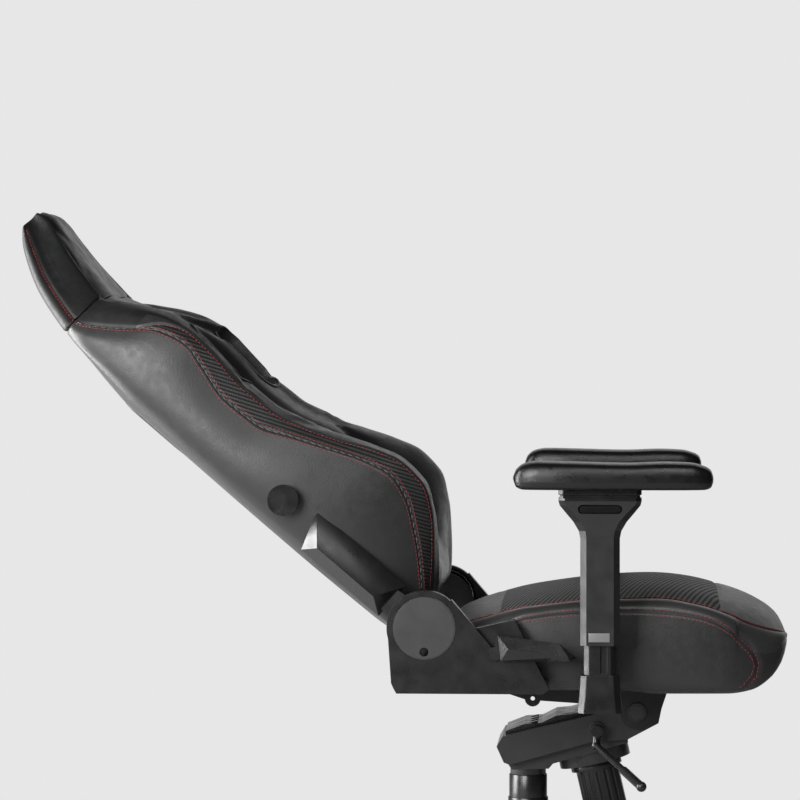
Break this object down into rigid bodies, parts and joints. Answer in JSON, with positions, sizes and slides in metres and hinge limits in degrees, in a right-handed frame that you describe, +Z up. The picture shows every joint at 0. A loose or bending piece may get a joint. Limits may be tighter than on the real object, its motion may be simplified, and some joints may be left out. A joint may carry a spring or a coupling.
{
  "type": "gaming chair",
  "caption": "Reclining racing-style chair with a winged high back, bolstered seat, adjustable armrests and a swivelling, height-adjustable caster base.",
  "frame": {"origin": "on the floor, where the gas lift's swivel axis meets it", "axes": "+X towards the sitter's front, +Y towards the sitter's left, +Z up"},
  "size_m": [1.0572, 0.734, 1.0488],
  "materials": {
    "base_aluminium": "black powder coat over cast aluminium",
    "black_steel": "black powder coat on steel plate and tube",
    "bright_steel": "bright ground steel",
    "satin_plastic": "satin black moulded plastic",
    "gloss_plastic": "semi-gloss black moulded plastic",
    "caster_plastic": "black nylon with a soft polyurethane tread",
    "upholstery": "black synthetic leather over moulded foam",
    "webbing": "woven elastic webbing",
    "arm_pad_skin": "soft black polyurethane skin",
    "red_button": "red moulded plastic"
  },
  "bodies": {
    "base": {"star_base": "base_aluminium", "lift_outer_tube": "black_steel", "cover_lower": "satin_plastic"},
    "caster_1": {"caster_fork_1": "caster_plastic"},
    "wheels_1": {"caster_wheels_1": "caster_plastic"},
    "caster_2": {"caster_fork_2": "caster_plastic"},
    "wheels_2": {"caster_wheels_2": "caster_plastic"},
    "caster_3": {"caster_fork_3": "caster_plastic"},
    "wheels_3": {"caster_wheels_3": "caster_plastic"},
    "caster_4": {"caster_fork_4": "caster_plastic"},
    "wheels_4": {"caster_wheels_4": "caster_plastic"},
    "caster_5": {"caster_fork_5": "caster_plastic"},
    "wheels_5": {"caster_wheels_5": "caster_plastic"},
    "swivel": {"piston_rod": "bright_steel", "thrust_bearing": "bright_steel"},
    "column": {"lift_column": "black_steel", "cover_upper": "satin_plastic", "mechanism_housing": "base_aluminium", "mechanism_lid": "satin_plastic", "tilt_shaft": "black_steel", "tension_spring": "bright_steel"},
    "cover_ring": {"cover_middle": "satin_plastic"},
    "button": {"release_button": "red_button"},
    "knob": {"tension_knob": "satin_plastic"},
    "lever_root": {"lever_shaft": "black_steel"},
    "lever": {"height_lever": "black_steel"},
    "seat": {"seat_plate": "black_steel", "seat_frame": "black_steel", "seat_webbing": "webbing", "seat_cushion": "upholstery", "seat_bolts": "bright_steel", "hinge_brackets": "black_steel", "recliners": "bright_steel", "recliner_springs": "bright_steel", "sync_rod": "bright_steel", "side_cover_right": "satin_plastic", "side_cover_left": "satin_plastic", "hinge_caps": "satin_plastic", "arm_bracket_right": "base_aluminium", "arm_bracket_left": "base_aluminium"},
    "recliner_lever": {"recline_lever": "gloss_plastic"},
    "backrest": {"back_frame": "black_steel", "back_cushion": "upholstery", "headrest": "upholstery", "recline_arms": "black_steel", "back_covers": "satin_plastic", "belt_trims": "satin_plastic"},
    "lumbar": {"lumbar_plate": "satin_plastic"},
    "lumbar_dial": {"lumbar_knob": "satin_plastic"},
    "arm_right": {"arm_sleeve_right": "satin_plastic"},
    "trigger_right": {"arm_trigger_right": "satin_plastic"},
    "turntable_right": {"arm_turntable_right": "satin_plastic"},
    "slider_right": {"arm_slider_right": "satin_plastic"},
    "pad_right": {"arm_pad_right": "arm_pad_skin"},
    "arm_left": {"arm_sleeve_left": "satin_plastic"},
    "trigger_left": {"arm_trigger_left": "satin_plastic"},
    "turntable_left": {"arm_turntable_left": "satin_plastic"},
    "slider_left": {"arm_slider_left": "satin_plastic"},
    "pad_left": {"arm_pad_left": "arm_pad_skin"}
  },
  "joints": [
    {"name": "caster_swivel_1", "type": "hinge", "parent": "base", "child": "caster_1", "pos_m": [-0.325, 0, 0.08], "axis": [0, 0, 1], "continuous": true},
    {"name": "wheel_roll_1", "type": "hinge", "parent": "caster_1", "child": "wheels_1", "pos_m": [-0.347, 0, 0.03], "axis": [0, 1, 0], "continuous": true},
    {"name": "caster_swivel_2", "type": "hinge", "parent": "base", "child": "caster_2", "pos_m": [-0.10043, -0.30909, 0.08], "axis": [0, 0, 1], "continuous": true},
    {"name": "wheel_roll_2", "type": "hinge", "parent": "caster_2", "child": "wheels_2", "pos_m": [-0.12243, -0.30909, 0.03], "axis": [0, 1, 0], "continuous": true},
    {"name": "caster_swivel_3", "type": "hinge", "parent": "base", "child": "caster_3", "pos_m": [0.26293, -0.19103, 0.08], "axis": [0, 0, 1], "continuous": true},
    {"name": "wheel_roll_3", "type": "hinge", "parent": "caster_3", "child": "wheels_3", "pos_m": [0.24093, -0.19103, 0.03], "axis": [0, 1, 0], "continuous": true},
    {"name": "caster_swivel_4", "type": "hinge", "parent": "base", "child": "caster_4", "pos_m": [0.26293, 0.19103, 0.08], "axis": [0, 0, 1], "continuous": true},
    {"name": "wheel_roll_4", "type": "hinge", "parent": "caster_4", "child": "wheels_4", "pos_m": [0.24093, 0.19103, 0.03], "axis": [0, 1, 0], "continuous": true},
    {"name": "caster_swivel_5", "type": "hinge", "parent": "base", "child": "caster_5", "pos_m": [-0.10043, 0.30909, 0.08], "axis": [0, 0, 1], "continuous": true},
    {"name": "wheel_roll_5", "type": "hinge", "parent": "caster_5", "child": "wheels_5", "pos_m": [-0.12243, 0.30909, 0.03], "axis": [0, 1, 0], "continuous": true},
    {"name": "seat_swivel", "type": "hinge", "parent": "base", "child": "swivel", "pos_m": [0, 0, 0.1], "axis": [0, 0, 1], "continuous": true},
    {"name": "seat_height", "type": "slide", "parent": "swivel", "child": "column", "axis": [0, 0, 1], "range_m": [-0.05, 0.03]},
    {"name": "cover_slide", "type": "slide", "parent": "swivel", "child": "cover_ring", "axis": [0, 0, 1], "range_m": [-0.025, 0.015]},
    {"name": "button_press", "type": "slide", "parent": "column", "child": "button", "axis": [0, 0, -1], "range_m": [0, 0.004]},
    {"name": "tension_turn", "type": "hinge", "parent": "column", "child": "knob", "pos_m": [0.092, 0, 0.288], "axis": [-0.225, 0, 0.9744], "range_deg": [-720, 720]},
    {"name": "tilt_lock", "type": "slide", "parent": "column", "child": "lever_root", "axis": [0, -1, 0], "range_m": [0, 0.008]},
    {"name": "height_lift", "type": "hinge", "parent": "lever_root", "child": "lever", "pos_m": [0.097, -0.1, 0.329], "axis": [0, -1, 0], "range_deg": [0, 20], "stiffness_Nm_per_rad": 2, "springref_deg": -20.05},
    {"name": "seat_tilt", "type": "hinge", "parent": "column", "child": "seat", "pos_m": [0.152, 0, 0.355], "axis": [0, -1, 0], "range_deg": [0, 14], "stiffness_Nm_per_rad": 300, "springref_deg": -28.65},
    {"name": "recline_release", "type": "hinge", "parent": "seat", "child": "recliner_lever", "pos_m": [-0.036, -0.3, 0.452], "axis": [0, -1, 0], "range_deg": [0, 20], "stiffness_Nm_per_rad": 2, "springref_deg": -20.05},
    {"name": "back_recline", "type": "hinge", "parent": "seat", "child": "backrest", "pos_m": [-0.131, 0, 0.485], "axis": [0, -1, 0], "range_deg": [-49.5, 20]},
    {"name": "lumbar_push", "type": "slide", "parent": "backrest", "child": "lumbar", "axis": [0.6494, 0, 0.7604], "range_m": [0, 0.02]},
    {"name": "lumbar_turn", "type": "hinge", "parent": "backrest", "child": "lumbar_dial", "pos_m": [-0.31949, -0.28, 0.65387], "axis": [0, -1, 0], "range_deg": [0, 90]},
    {"name": "arm_height_right", "type": "slide", "parent": "seat", "child": "arm_right", "axis": [0, 0, 1], "range_m": [-0.035, 0.035]},
    {"name": "arm_release_right", "type": "slide", "parent": "arm_right", "child": "trigger_right", "axis": [0, 1, 0], "range_m": [0, 0.003], "stiffness_N_per_m": 600, "springref_m": -0.003},
    {"name": "arm_swivel_right", "type": "hinge", "parent": "arm_right", "child": "turntable_right", "pos_m": [0.102, -0.31, 0.66], "axis": [0, 0, -1], "range_deg": [-20, 20]},
    {"name": "arm_reach_right", "type": "slide", "parent": "turntable_right", "child": "slider_right", "axis": [-1, 0, 0], "range_m": [-0.03, 0.025]},
    {"name": "arm_width_right", "type": "slide", "parent": "slider_right", "child": "pad_right", "axis": [0, 1, 0], "range_m": [-0.012, 0.01]},
    {"name": "arm_height_left", "type": "slide", "parent": "seat", "child": "arm_left", "axis": [0, 0, 1], "range_m": [-0.035, 0.035]},
    {"name": "arm_release_left", "type": "slide", "parent": "arm_left", "child": "trigger_left", "axis": [0, -1, 0], "range_m": [0, 0.003], "stiffness_N_per_m": 600, "springref_m": -0.003},
    {"name": "arm_swivel_left", "type": "hinge", "parent": "arm_left", "child": "turntable_left", "pos_m": [0.102, 0.31, 0.66], "axis": [0, 0, 1], "range_deg": [-20, 20]},
    {"name": "arm_reach_left", "type": "slide", "parent": "turntable_left", "child": "slider_left", "axis": [-1, 0, 0], "range_m": [-0.03, 0.025]},
    {"name": "arm_width_left", "type": "slide", "parent": "slider_left", "child": "pad_left", "axis": [0, -1, 0], "range_m": [-0.012, 0.01]}
  ],
  "couplings": [
    {"joint": "cover_slide", "follows": "seat_height", "ratio": 0.5},
    {"joint": "button_press", "follows": "height_lift", "m_per_rad": 0.011459},
    {"joint": "lumbar_turn", "follows": "lumbar_push", "rad_per_m": 78.54}
  ]
}
